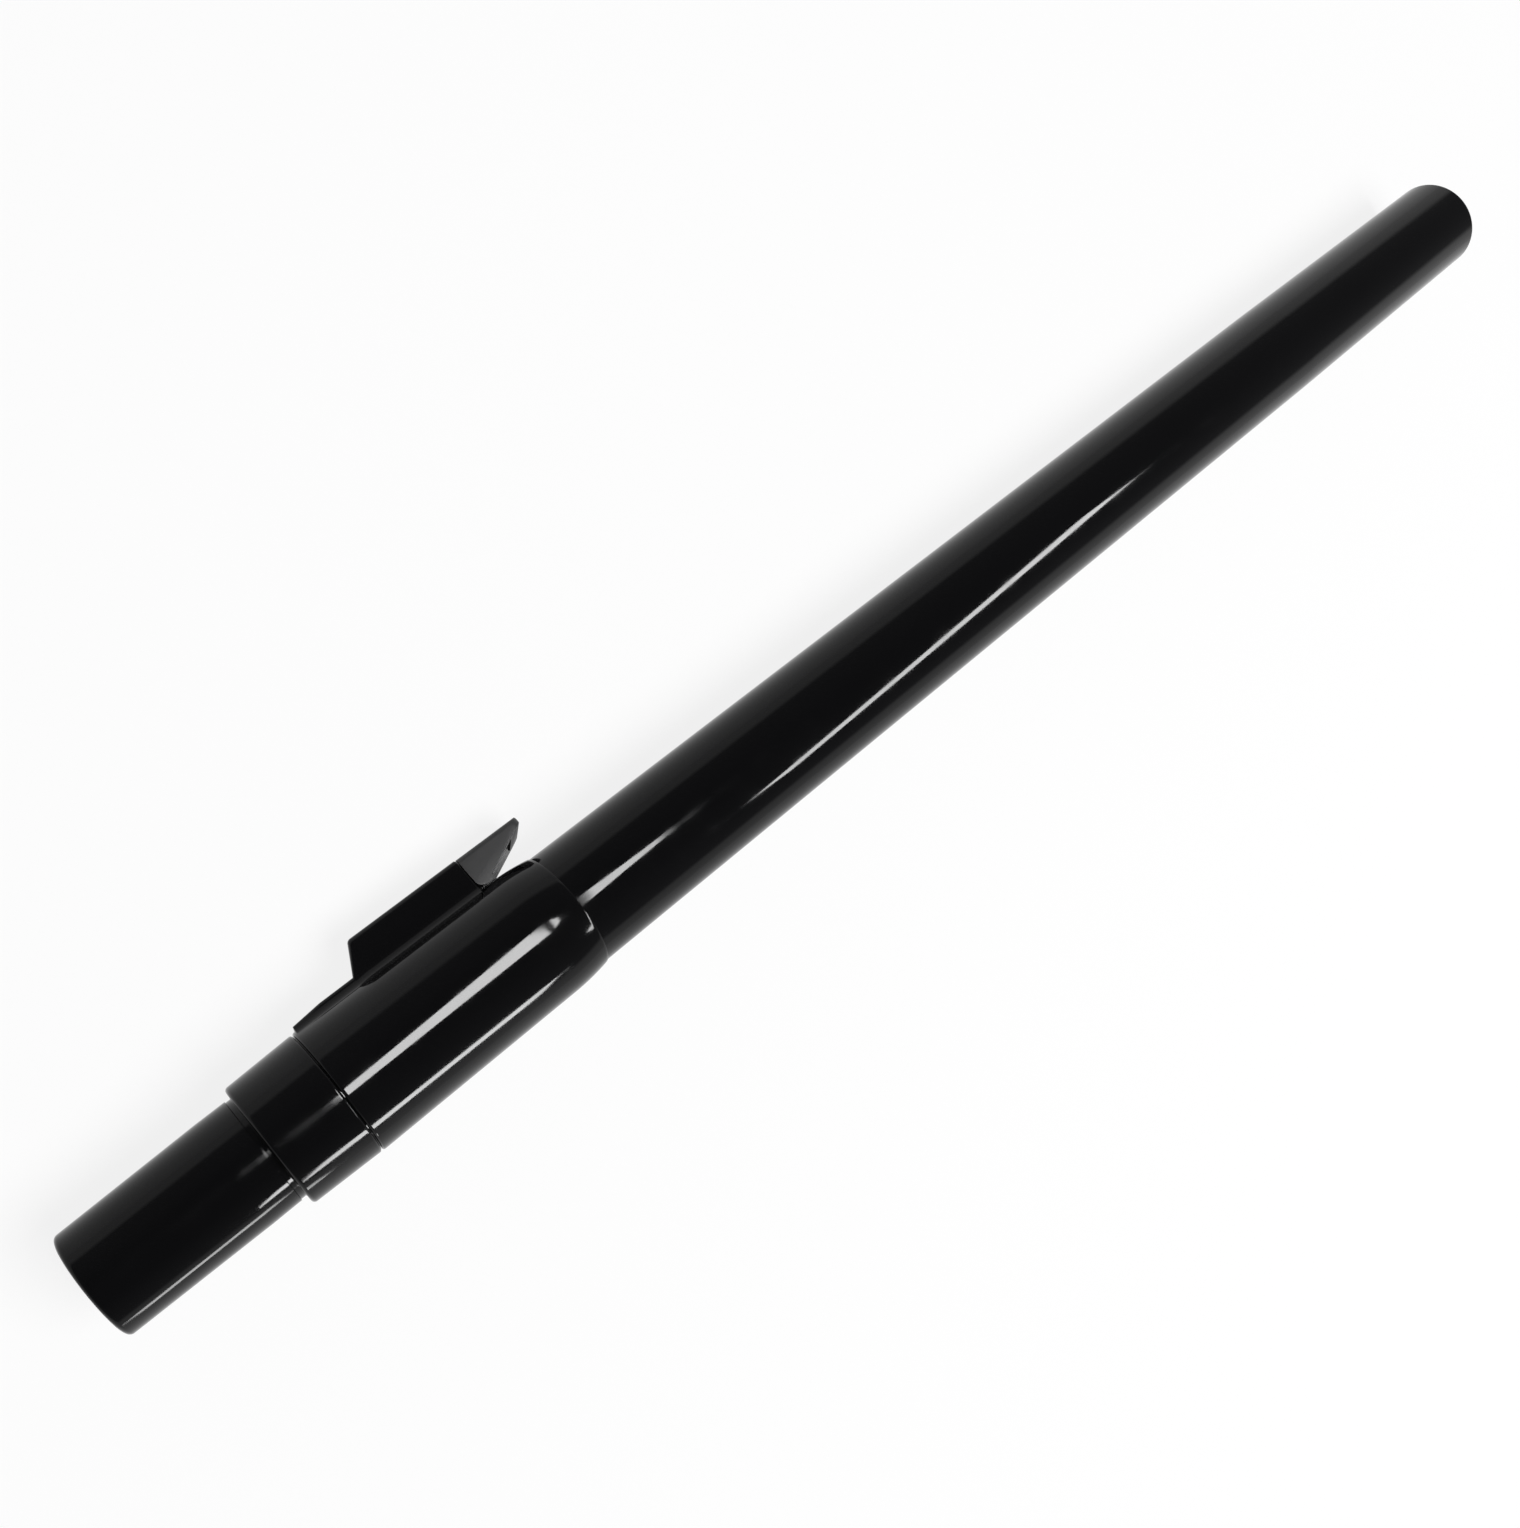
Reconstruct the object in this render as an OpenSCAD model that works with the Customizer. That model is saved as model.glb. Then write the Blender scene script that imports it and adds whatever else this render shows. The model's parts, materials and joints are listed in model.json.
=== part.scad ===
// Rigid vacuum cleaner wand with a latched male connector, lying on its side.
// Each piece is drawn along X from the connector's mouth, with the latch on top,
// and lie_down() then sets it on the ground the way it comes to rest.

/* [Wand tube] */
// Overall length, from mouth to mouth
wand_length = 610; // [500:5:900]
// Outer diameter of the long tube
tube_od = 36; // [36:0.1:36.4]
// Wall of the long tube
tube_wall = 2.4; // [2:0.1:2.6]
// Outer diameter of the tube at its far mouth
far_mouth_od = 34.6; // [34.4:0.1:35.4]
// Length over which the tube narrows towards its far mouth
far_taper = 115; // [80:5:150]
// Inner diameter of the two seats, for the connector and for a tool
seat_d = 32.1; // [32.05:0.05:32.2]
// Depth of the tool seat in the far mouth
far_seat_depth = 50; // [35:1:60]
// Rounding of the far rim
far_rim_round = 0.7; // [0.4:0.1:0.8]

/* [Connector] */
// Outer diameter at the shoulder, the size that a socket grips
connector_od = 32; // [31.9:0.05:32]
// Outer diameter at the mouth
connector_mouth_od = 30.4; // [30:0.1:31.2]
// Inner diameter of the air duct
connector_bore = 27.2; // [26.6:0.1:27.4]
// Length from the mouth to the end ring
connector_reach = 50; // [46:1:56]
// Length of the straight land behind the taper
connector_land = 10; // [8:1:14]
// Rounding of the mouth's outer edge
mouth_round = 1.3; // [0.8:0.1:1.4]
// Depth of the relief groove at the shoulder
relief_depth = 0.3; // [0.2:0.1:0.4]

/* [End ring] */
// Diameter of the end ring at its front
ring_front_od = 37.2; // [37:0.1:37.8]
// Diameter of the end ring at its rear
ring_rear_od = 38.6; // [38.2:0.1:38.8]
// Length of the end ring
ring_length = 20.8; // [18:0.2:24]
// Rounding of the end ring's front corner
ring_front_round = 1.2; // [0.6:0.1:1.2]

/* [Latch collar] */
// Diameter of the collar's sleeve
collar_od = 38.8; // [38.6:0.1:39.4]
// Length of the collar's sleeve
collar_length = 77.5; // [74:0.5:84]
// Length of the tapered tail of the sleeve
collar_tail = 12; // [8:1:14]
// Width of the latch housing
housing_width = 16; // [15.6:0.2:17]
// Height of the latch housing over the wand's centre line
housing_height = 29.7; // [29.4:0.1:30.4]
// Distance from the front of the collar to the foot of the housing
housing_start = 20.6; // [19:0.2:21]
// Length of the housing, from its foot to its open rear
housing_length = 40.7; // [40:0.1:41.4]
// How far the front face of the housing leans back
housing_lean = 5; // [3:0.5:6]
// Wall of the housing
housing_wall = 2; // [1.8:0.1:2.2]
// Rounding along the housing's top edges
housing_round = 2; // [1.4:0.1:2.2]
// Radius of the fillet from the housing's sides to the sleeve
housing_fillet = 4.4; // [3.6:0.1:4.4]
// Height of the low plinth ahead of the housing
plinth_height = 20.4; // [20.1:0.1:20.8]
// Rounding along the plinth's top edges
plinth_round = 1.2; // [0.6:0.1:1.6]

/* [Latch] */
// Half width of the thumb tab
tab_half_width = 7.5; // [7:0.1:7.6]
// Length of the thumb tab behind the housing
tab_length = 21.2; // [20:0.2:22]
// Rounding of the tab's edges, in plan and along its top
tab_round = 1.8; // [1.4:0.1:2.4]
// Radius of the tab's round tip, seen from the side
tab_tip_round = 1.3; // [1.1:0.1:1.6]
// Slope of the tab's underside, in degrees
tab_slope = 25; // [22:1:28]
// Wall of the tab's cap
tab_wall = 1.8; // [1.6:0.1:2.2]
// Diameter of the hinge pin
pin_d = 3; // [2.6:0.1:3]
// Radial clearance of the latch on its pin
pin_clearance = 0.05; // [0.03:0.01:0.08]
// How deep the tooth reaches into the connector's wall
tooth_depth = 1.3; // [1.1:0.05:1.4]
// Wire diameter of the latch spring
wire_d = 0.45; // [0.4:0.05:0.6]
// Mean diameter of the latch spring
coil_d = 4.2; // [4:0.1:4.6]
// Turns of the latch spring
coil_turns = 4; // [3:0.5:4.5]

/* [Hidden] */

gap = 0.1; // between mouldings that meet face to face
glue = 0.05; // between the tube and what is bonded over it
slack = 0.4; // beside and around what moves
bore_fn = 96;
soft_fn = 48;
eps = 0.5; // how far a cut runs past the face that it opens

tube_r = tube_od / 2;
bore_r = tube_r - tube_wall;
seat_r = seat_d / 2;
far_r = far_mouth_od / 2;
connector_r = connector_od / 2;
duct_r = connector_bore / 2;
collar_r = collar_od / 2;

// Stations along the wand
ring_x = connector_reach + gap;
ring_end = ring_x + ring_length;
ring_web = ring_length * 0.56; // the solid front of the ring
tube_x = ring_x + ring_web + gap;
collar_x = ring_end + 2 * gap;
collar_end = collar_x + collar_length;
housing_x = collar_x + housing_start;
housing_end = housing_x + housing_length;
lean_angle = atan2(housing_height - plinth_height, housing_lean);
sleeve_end = housing_end - 15; // inner end of the connector

// Latch, in the wand's length and height
half_w = housing_width / 2;
room_half_w = half_w - housing_wall;
ceiling = housing_height - housing_wall;
room_floor = collar_r + 0.1;
pivot_x = housing_end - 3.4;
pivot_h = 24;
boss_r = 3.1;
boss_half_w = room_half_w - slack;
arm_half_w = 4;
arm_floor = room_floor + 0.8;
arm_top = 23.3;
tooth_x = housing_x + 8.6;
tooth_length = 3.6;
tooth_half_w = 3.5;
tooth_tip = connector_r - tooth_depth;
slot_front = tooth_x - 1.5;
slot_rear = tooth_x + tooth_length + slack;
slot_half_w = tooth_half_w + slack;
tab_x = housing_end + 0.5;
tab_end = housing_end + tab_length + 0.4;
tab_top = housing_height - 0.1;
tab_seat_r = collar_r + 0.65; // the tab's underside follows the sleeve
spring_x = pivot_x - 19;
spring_seat = 0.5;
spring_low = arm_top + gap / 5;
spring_high = ceiling + spring_seat - gap / 5;

// Rolled over until the sleeve and one edge of the housing both touch the ground
edge_h = housing_height - housing_round;
edge_w = half_w - housing_round;
lie_roll = asin((collar_r - housing_round) / norm([edge_h, edge_w])) - atan2(edge_w, edge_h);
lie_reach = edge_h * cos(lie_roll) + edge_w * sin(lie_roll) + housing_round;
lie_side = (lie_reach - collar_r) / 2;

// Turns a piece from the drawing position to its place on the ground.
module lie_down() {
    translate([-wand_length / 2, -lie_side, collar_r])
        rotate([-90 - lie_roll, 0, 0])
            children();
}

// Revolves an outline of [radius, station] about the wand's centre line.
module turned() {
    rotate([0, 90, 0]) rotate_extrude($fn = bore_fn) children();
}

// Extrudes a side view of [station, height] to both sides of the middle plane.
module slab(half_width) {
    rotate([90, 0, 0]) linear_extrude(height = 2 * half_width, center = true) children();
}

// Extrudes a cross-section of [side, height] from one station to another.
module run(from, to) {
    translate([from, 0, 0]) rotate([90, 0, 90]) linear_extrude(height = to - from) children();
}

// A straight round hole or rod along the wand.
module rod(r, from, to) {
    translate([from, 0, 0]) rotate([0, 90, 0]) cylinder(r = r, h = to - from, $fn = bore_fn);
}

// A straight round hole or rod across the wand, through the pivot.
module cross_rod(r, from, to) {
    translate([pivot_x, from, pivot_h])
        rotate([-90, 0, 0]) cylinder(r = r, h = to - from, $fn = soft_fn);
}

// What a rounded corner of radius r loses; sx and sy point into the material.
module corner(at, r, sx, sy) {
    translate(at) scale([sx, sy]) difference() {
        translate([-eps, -eps]) square(r + eps);
        translate([r, r]) circle(r, $fn = soft_fn);
    }
}

// The opening that the tooth drops through, down to a given height.
module tooth_slot(low, high) {
    translate([slot_front, -slot_half_w, low])
        cube([slot_rear - slot_front, 2 * slot_half_w, high - low]);
}

module tube_outline() {
    far_in = far_rim_round * 0.8;
    difference() {
        polygon([
            [seat_r, tube_x],
            [tube_r, tube_x],
            [tube_r, wand_length - far_taper],
            [far_r, wand_length],
            [seat_r, wand_length],
            [seat_r, wand_length - far_seat_depth],
            [bore_r, wand_length - far_seat_depth - 1],
            [bore_r, sleeve_end + 2 * gap],
            [seat_r, sleeve_end + gap]
        ]);
        corner([far_r, wand_length], far_rim_round, -1, -1);
        translate([seat_r, wand_length]) rotate(45) square(far_in, center = true);
    }
}

module wand_tube() {
    color([0.045, 0.045, 0.05]) lie_down() difference() {
        turned() tube_outline();
        tooth_slot(0, tube_r + eps);
    }
}

module connector_outline() {
    taper_end = connector_reach - connector_land;
    lead_in = 1.2;
    groove = 1.4;
    mouth_r = connector_mouth_od / 2;
    difference() {
        polygon([
            [duct_r, 0],
            [mouth_r, 0],
            [mouth_r, mouth_round],
            [connector_r, taper_end],
            [connector_r, connector_reach - groove],
            [connector_r - relief_depth, connector_reach - groove],
            [connector_r - relief_depth, connector_reach],
            [connector_r, connector_reach],
            [connector_r, sleeve_end - lead_in],
            [connector_r - lead_in, sleeve_end],
            [duct_r, sleeve_end]
        ]);
        corner([mouth_r, 0], mouth_round, -1, 1);
    }
}

module connector() {
    color([0.04, 0.04, 0.045]) lie_down() difference() {
        turned() connector_outline();
        tooth_slot(tooth_tip - 0.2, connector_r + eps);
    }
}

module ring_outline() {
    front_r = ring_front_od / 2;
    rear_r = ring_rear_od / 2;
    rear_round = 0.7;
    difference() {
        polygon([
            [seat_r, ring_x],
            [front_r, ring_x],
            [rear_r, ring_end],
            [tube_r + glue, ring_end],
            [tube_r + glue, ring_x + ring_web],
            [seat_r, ring_x + ring_web]
        ]);
        corner([front_r, ring_x], ring_front_round, -1, 1);
        corner([rear_r, ring_end], rear_round, -1, -1);
    }
}

module end_ring() {
    color([0.05, 0.05, 0.055]) lie_down() turned() ring_outline();
}

// The sleeve's wall, whose tail is one long arc that leaves a thin rounded lip.
module sleeve_outline() {
    lip_r = tube_r + 0.35;
    drop = collar_r - lip_r;
    tail_arc = (collar_tail * collar_tail + drop * drop) / (2 * drop);
    tail_x = collar_end - collar_tail;
    front_round = 0.8;
    difference() {
        union() {
            translate([tube_r + glue, collar_x])
                square([collar_r - tube_r - glue, tail_x - collar_x]);
            intersection() {
                translate([tube_r + glue, tail_x - gap])
                    square([collar_r - tube_r - glue, collar_tail + gap]);
                translate([collar_r - tail_arc, tail_x]) circle(tail_arc, $fn = 360);
            }
        }
        corner([collar_r, collar_x], front_round, -1, 1);
    }
}

// Cross-section of housing or plinth, which widens into the sleeve by a concave fillet.
module housing_section(height, round) {
    sink = 0.002; // lets the fillet's arc cross its neighbours and not just touch them
    reach = half_w + housing_fillet - sink;
    rise = sqrt(pow(collar_r + housing_fillet - sink, 2) - reach * reach);
    below = max(0, rise + round - height);
    flare = housing_fillet - sqrt(pow(housing_fillet, 2) - below * below);
    difference() {
        polygon([
            [0, 0],
            [reach, rise],
            [half_w, rise],
            [half_w, height],
            [-half_w, height],
            [-half_w, rise],
            [-reach, rise]
        ]);
        if (round > 0) {
            corner([half_w + flare, height], round, -1, -1);
            corner([-half_w - flare, height], round, 1, -1);
        }
        for (side = [-1, 1])
            translate([side * reach, rise]) circle(housing_fillet, $fn = bore_fn);
    }
}

// Side view of the housing, whose front leans back up to a round crown.
module housing_side() {
    crown = 1.6;
    crown_cut = crown * tan(lean_angle / 2);
    top_x = housing_x + housing_lean;
    union() {
        polygon([
            [housing_x, 0],
            [housing_x, plinth_height],
            [top_x - crown_cut * cos(lean_angle), housing_height - crown_cut * sin(lean_angle)],
            [top_x + crown_cut, housing_height],
            [housing_end, housing_height],
            [housing_end, 0]
        ]);
        translate([top_x + crown_cut, housing_height - crown]) circle(crown, $fn = soft_fn);
    }
}

// What the round edges of the leaning front lose.
module front_edges() {
    for (side = [-1, 1])
        translate([housing_x, side * half_w, plinth_height])
            rotate([0, 90 - lean_angle, 0]) translate([0, 0, -1]) linear_extrude(height = 14)
                corner([0, 0], housing_round, 1, -side);
}

// Side view of the plinth, which ramps up from the sleeve's front.
module plinth_side() {
    ramp = 10;
    start = 0.8;
    polygon([
        [collar_x + start, 0],
        [collar_x + start, collar_r + 0.05],
        [collar_x + ramp, plinth_height],
        [housing_x + 2 * housing_round, plinth_height],
        [housing_x + 2 * housing_round, 0]
    ]);
}

// The housing, its foot with the fillets, and the plinth ahead of it.
module housing_body() {
    difference() {
        intersection() {
            run(housing_x - eps, housing_end) housing_section(housing_height, housing_round);
            slab(half_w) housing_side();
        }
        front_edges();
    }
    run(housing_x + housing_round, housing_end) housing_section(plinth_height, 0);
    intersection() {
        run(collar_x, housing_end) housing_section(plinth_height, plinth_round);
        slab(collar_r) plinth_side();
    }
}

// The room that the latch works in, open towards the rear.
module latch_room() {
    room_front = housing_x + 5.4;
    room_round = 1;
    intersection() {
        run(room_front, housing_end + eps) difference() {
            translate([-room_half_w, room_floor])
                square([2 * room_half_w, ceiling - room_floor]);
            corner([room_half_w, ceiling], room_round, -1, -1);
            corner([-room_half_w, ceiling], room_round, 1, -1);
        }
        slab(half_w) polygon([
            [room_front - 0.5, room_floor],
            [room_front + housing_lean - 0.5, ceiling],
            [housing_end + eps, ceiling],
            [housing_end + eps, room_floor]
        ]);
    }
}

module latch_collar() {
    color([0.05, 0.05, 0.055]) lie_down() difference() {
        union() {
            turned() sleeve_outline();
            housing_body();
        }
        rod(tube_r + glue, collar_x - eps, collar_end + eps);
        latch_room();
        tooth_slot(0, room_floor + eps);
        translate([spring_x, 0, ceiling - eps])
            cylinder(d = coil_d + wire_d + slack, h = spring_seat + eps, $fn = soft_fn);
        cross_rod(pin_d / 2 + 0.01, -half_w + 0.8, half_w + eps);
    }
}

// Side view of the thumb tab, from its flat front to its thin round tip.
module tab_side() {
    tip = [tab_end - tab_tip_round, tab_top - tab_tip_round];
    under = tip + tab_tip_round * [sin(tab_slope), -cos(tab_slope)];
    foot_h = tab_seat_r * 0.8;
    foot_x = under[0] - (under[1] - tab_seat_r) / tan(tab_slope);
    foot_round = 2.6;
    difference() {
        union() {
            polygon([
                [tab_x, foot_h],
                [tab_x, tab_top],
                [tip[0], tab_top],
                under,
                [foot_x, tab_seat_r],
                [foot_x, foot_h]
            ]);
            translate(tip) circle(tab_tip_round, $fn = soft_fn);
        }
        corner([tab_x, tab_seat_r - 1.4], foot_round, 1, 1);
    }
}

// Cross-section of the tab, round along both top edges.
module tab_section() {
    difference() {
        translate([-tab_half_width, 0]) square([2 * tab_half_width, tab_top]);
        corner([tab_half_width, tab_top], tab_round, -1, -1);
        corner([-tab_half_width, tab_top], tab_round, 1, -1);
    }
}

// What the two round corners of the tab's tip lose, seen from above.
module tip_corners() {
    linear_extrude(height = tab_top + eps) {
        corner([tab_end, tab_half_width], tab_round + 1, -1, -1);
        corner([tab_end, -tab_half_width], tab_round + 1, -1, 1);
    }
}

// The cap's hollow, which leaves the top, the front and the two skirts.
module tab_hollow() {
    roof = tab_top - tab_wall;
    slab(tab_half_width - tab_wall) polygon([
        [tab_x + tab_wall, 0],
        [tab_x + tab_wall, roof],
        [tab_end - 5, roof],
        [tab_end - 3, 0]
    ]);
}

// The cap with its hollow, its underside cut to follow the sleeve.
module tab_cap() {
    difference() {
        intersection() {
            slab(tab_half_width) tab_side();
            run(tab_x - eps, tab_end + eps) tab_section();
        }
        tip_corners();
        tab_hollow();
        rod(tab_seat_r, tab_x - eps, tab_end + eps);
    }
}

// The rib that carries the cap's roof from the neck of the arm.
module tab_rib() {
    rib_end = tab_end - 5.5;
    slab(0.8) polygon([
        [tab_x + tab_wall / 2, pivot_h - 2],
        [tab_x + tab_wall / 2, tab_top - tab_wall + gap],
        [rib_end, tab_top - tab_wall + gap],
        [rib_end, tab_top - tab_wall - 0.6],
        [tab_x + 8, pivot_h - 1]
    ]);
}

module arm_side() {
    neck_low = pivot_h - 2.6;
    neck_high = ceiling - 0.9;
    polygon([
        [tooth_x - 0.6, arm_floor + 1.2],
        [tooth_x, arm_floor],
        [pivot_x - boss_r, arm_floor],
        [pivot_x, neck_low],
        [tab_x + tab_wall / 2, neck_low],
        [tab_x + tab_wall / 2, neck_high],
        [pivot_x - 1, neck_high],
        [pivot_x - 7, arm_top],
        [tooth_x + 1.2, arm_top],
        [tooth_x - 0.6, arm_top - 1.8]
    ]);
}

// The tooth's front is a ramp for the connector to push up; its rear holds.
module tooth_side() {
    polygon([
        [tooth_x, arm_floor + 1],
        [tooth_x, tooth_tip + 2],
        [tooth_x + 1.6, tooth_tip],
        [tooth_x + tooth_length, tooth_tip],
        [tooth_x + tooth_length, arm_floor + 1]
    ]);
}

module latch_lever() {
    stud_h = 0.9;
    color([0.09, 0.09, 0.095]) lie_down() difference() {
        union() {
            tab_cap();
            tab_rib();
            slab(arm_half_w) arm_side();
            slab(tooth_half_w) tooth_side();
            cross_rod(boss_r, -boss_half_w, boss_half_w);
            translate([spring_x, 0, arm_top - eps])
                cylinder(d = coil_d - wire_d - slack, h = eps + stud_h, $fn = soft_fn);
        }
        cross_rod(pin_d / 2 + pin_clearance, -half_w, half_w);
    }
}

module hinge_pin() {
    color([0.7, 0.7, 0.72]) lie_down() cross_rod(pin_d / 2, -half_w + 0.9, half_w - 0.2);
}

// A compression coil with its end turns drawn close, swept as one closed tube.
module latch_spring() {
    steps = 24;
    sides = 8;
    rings = round(coil_turns * steps);
    bottom = spring_low + wire_d / 2;
    rise = spring_high - wire_d / 2 - bottom;
    // A cosine ramp packs the first and last turn flat against their seats.
    function level(t) = bottom + rise * (t - sin(360 * t) / 360 * 40);
    function ring(i) = [
        for (k = [0:sides - 1])
        let (turn = 360 * i / steps, a = 360 * k / sides, r = coil_d / 2 + wire_d / 2 * cos(a))
        [r * cos(turn), r * sin(turn), level(i / rings) + wire_d / 2 * sin(a)]
    ];
    points = [for (i = [0:rings]) each ring(i)];
    walls = [
        for (i = [0:rings - 1], k = [0:sides - 1])
        let (a = i * sides + k, b = i * sides + (k + 1) % sides)
        each [[a, b, b + sides], [a, b + sides, a + sides]]
    ];
    first = [for (k = [sides - 1:-1:0]) k];
    last = [for (k = [0:sides - 1]) rings * sides + k];
    color([0.75, 0.75, 0.77]) lie_down() translate([spring_x, 0, 0])
        polyhedron(points, concat(walls, [first], [last]));
}

wand_tube();
connector();
end_ring();
latch_collar();
latch_lever();
hinge_pin();
latch_spring();
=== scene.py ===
"""Looks of a rigid black vacuum cleaner wand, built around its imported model.

Every piece is drawn along X from the connector's mouth with the latch on +Z, in metres, the way it
would lie on a drawing board. laid() then turns it to where the wand rests on the ground.
"""

import json
import math

import bmesh
import bpy
from mathutils import Matrix, Vector


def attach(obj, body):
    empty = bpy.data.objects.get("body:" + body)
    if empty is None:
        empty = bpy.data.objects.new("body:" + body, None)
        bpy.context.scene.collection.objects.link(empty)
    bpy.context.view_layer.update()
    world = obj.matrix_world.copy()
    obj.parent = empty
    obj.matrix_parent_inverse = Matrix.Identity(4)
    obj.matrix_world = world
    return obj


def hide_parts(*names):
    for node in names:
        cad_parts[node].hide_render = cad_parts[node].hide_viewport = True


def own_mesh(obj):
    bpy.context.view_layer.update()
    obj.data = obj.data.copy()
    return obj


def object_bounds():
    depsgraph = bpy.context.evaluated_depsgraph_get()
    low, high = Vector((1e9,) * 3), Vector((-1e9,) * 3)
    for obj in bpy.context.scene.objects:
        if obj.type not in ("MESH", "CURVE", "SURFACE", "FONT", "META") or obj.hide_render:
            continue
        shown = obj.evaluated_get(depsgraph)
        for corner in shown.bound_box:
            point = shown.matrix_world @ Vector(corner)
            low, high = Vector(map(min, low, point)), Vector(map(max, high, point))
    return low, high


bl_info = {
    "name": "Vacuum Cleaner Wand",
    "version": (1, 0, 0),
    "blender": (4, 5, 0),
    "location": "3D View > Sidebar > Wand",
    "description": "Builds the moulded shells, latch and studio of a vacuum cleaner wand",
    "category": "Object",
}

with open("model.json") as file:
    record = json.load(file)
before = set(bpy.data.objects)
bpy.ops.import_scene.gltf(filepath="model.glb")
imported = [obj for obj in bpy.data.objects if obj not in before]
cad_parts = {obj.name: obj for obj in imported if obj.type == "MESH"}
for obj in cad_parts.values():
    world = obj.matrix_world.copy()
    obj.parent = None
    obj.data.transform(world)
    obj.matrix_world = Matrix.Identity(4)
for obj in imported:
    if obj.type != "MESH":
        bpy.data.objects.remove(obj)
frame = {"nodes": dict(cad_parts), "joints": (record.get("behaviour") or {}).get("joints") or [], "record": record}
CAD_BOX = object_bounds()
MM = 0.001

PRESS = frame["joints"][0]
SEAT = next(m for m in frame["record"]["mounts"] if m["name"] == "tool_seat")


# Placing


def wand_place():
    """The matrix from the drawing board to the wand's resting place."""
    along = Vector(SEAT["axis"])
    across = Vector(PRESS["axis"])
    latchward = along.cross(across)
    mouth = Vector((CAD_BOX[0].x, SEAT["pos_m"][1], SEAT["pos_m"][2]))
    turn = Matrix((along, across, latchward)).transposed().to_4x4()
    return Matrix.Translation(mouth) @ turn


PLACE = wand_place()
PIVOT = PLACE.inverted() @ Vector(PRESS["pos_m"])


def drawing_box(node_name):
    """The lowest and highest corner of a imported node, on the drawing board."""
    inverse = PLACE.inverted()
    spots = [inverse @ v.co for v in frame["nodes"][node_name].data.vertices]
    low = Vector([min(p[i] for p in spots) for i in range(3)])
    high = Vector([max(p[i] for p in spots) for i in range(3)])
    return low, high


def laid(piece, body, node):
    """Lays a finished piece down, lets it ride on its body and stand for its node."""
    piece.data.transform(PLACE)
    piece.data.update()
    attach(piece, body)
    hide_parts(node)
    return piece


# Sizes and colours


def linear(hex_colour):
    """The linear RGBA colour of an sRGB hex value."""
    parts = [int(hex_colour[i : i + 2], 16) / 255 for i in (1, 3, 5)]
    return [c / 12.92 if c <= 0.04045 else ((c + 0.055) / 1.055) ** 2.4 for c in parts] + [1.0]


def length(name, description, value_mm):
    """A length property, given in millimetres."""
    return bpy.props.FloatProperty(
        name=name, description=description, default=value_mm * MM, unit="LENGTH", precision=5
    )


def colour(name, description, hex_colour):
    """A colour property, given as an sRGB hex value."""
    return bpy.props.FloatVectorProperty(
        name=name, description=description, default=linear(hex_colour), size=4, subtype="COLOR"
    )


class WandTubeSizes(bpy.types.PropertyGroup):
    """The long tube"""

    start: length("Near end", "Distance from the mouth to the tube's near end", 61.85)
    radius: length("Radius", "Outer radius of the long tube", 18.0)
    bore: length("Bore", "Inner radius of the long tube", 15.6)
    seat: length("Seat", "Inner radius of both seats", 16.05)
    seat_depth: length("Seat depth", "Depth of the tool seat in the far mouth", 50.0)
    sleeve_end: length("Sleeve end", "Distance from the mouth to the connector's inner end", 117.4)
    far_radius: length("Far radius", "Outer radius at the far mouth", 17.3)
    far_taper: length("Far taper", "Length over which the tube narrows to the far mouth", 115.0)
    rim_round: length("Rim rounding", "Rounding of the far rim", 0.7)


class ConnectorSizes(bpy.types.PropertyGroup):
    """The male connector"""

    mouth_radius: length("Mouth radius", "Outer radius at the mouth", 15.2)
    radius: length("Radius", "Outer radius of the straight land", 16.0)
    bore: length("Bore", "Radius of the air way", 13.6)
    taper: length("Taper", "Length of the taper ahead of the land", 40.0)
    reach: length("Reach", "Distance from the mouth to the end ring", 50.0)
    relief: length("Relief", "Depth of the groove at the shoulder", 0.3)
    mouth_round: length("Mouth rounding", "Rounding of the mouth's outer edge", 1.3)


class EndRingSizes(bpy.types.PropertyGroup):
    """The ring over the tube's near end"""

    start: length("Start", "Distance from the mouth to the ring", 50.1)
    extent: length("Length", "Length of the ring", 20.8)
    front_radius: length("Front radius", "Radius at the front", 18.6)
    rear_radius: length("Rear radius", "Radius at the rear", 19.3)
    front_round: length("Front rounding", "Rounding of the front corner", 1.2)
    rear_round: length("Rear rounding", "Rounding of the rear corner", 0.7)


class CollarSizes(bpy.types.PropertyGroup):
    """The collar and its latch housing"""

    start: length("Start", "Distance from the mouth to the collar", 71.1)
    extent: length("Length", "Length of the sleeve", 77.5)
    radius: length("Radius", "Outer radius of the sleeve", 19.4)
    bore: length("Bore", "Inner radius of the sleeve", 18.05)
    tail: length("Tail", "Length of the sleeve's tapered tail", 12.0)
    lip: length("Lip", "Radius of the sleeve's rear lip", 18.35)
    housing_start: length("Housing start", "Distance from the collar's front to the housing", 20.6)
    housing_extent: length("Housing length", "Length of the housing at its foot", 40.7)
    housing_lean: length("Lean", "How far the housing's front leans back", 5.0)
    housing_half_width: length("Half width", "Half the width of the housing", 8.0)
    housing_height: length("Height", "Height of the housing over the centre line", 29.7)
    housing_wall: length("Wall", "Wall of the housing", 2.0)
    housing_round: length("Rounding", "Rounding along the housing's top edges", 2.0)
    fillet: length("Fillet", "Radius of the fillet from the housing into the sleeve", 4.4)
    plinth_height: length("Plinth", "Height of the plinth ahead of the housing", 20.4)
    plinth_round: length("Plinth rounding", "Rounding along the plinth's top edges", 1.2)
    plinth_ramp: length("Ramp", "Length of the ramp up to the plinth", 10.0)


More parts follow.
